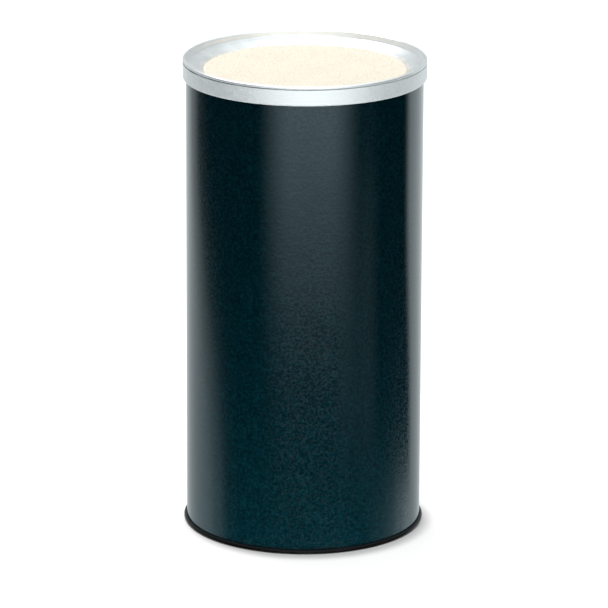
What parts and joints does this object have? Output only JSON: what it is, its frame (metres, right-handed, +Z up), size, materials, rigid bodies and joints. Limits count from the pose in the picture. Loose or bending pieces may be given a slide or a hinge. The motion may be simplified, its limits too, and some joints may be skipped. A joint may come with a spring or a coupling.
{
  "type": "sand urn ashtray",
  "caption": "Round free-standing sand urn: painted steel cylinder on a black vinyl base ring, aluminium collar, and a lift-out aluminium tray of sand for cigarette ends.",
  "frame": {"origin": "centre of the round base, on the floor that it stands on", "axes": "+Z up along the urn's own axis; the welded seam of the shell is on the +Y side, the back"},
  "size_m": [0.2572, 0.2572, 0.508],
  "materials": {
    "shell_paint": "satin",
    "base_paint": "matte",
    "vinyl": "satin",
    "collar_aluminium": "satin",
    "tray_aluminium": "satin",
    "sand": "matte"
  },
  "bodies": {
    "housing": {"body_shell": "shell_paint", "base_pan": "base_paint", "base_ring": "vinyl", "top_collar": "collar_aluminium"},
    "tray": {"sand_tray": "tray_aluminium", "sand_bed": "sand"}
  },
  "joints": [
    {"name": "tray_lift", "type": "slide", "parent": "housing", "child": "tray", "axis": [0, 0, 1], "range_m": [0, 0.12]}
  ]
}
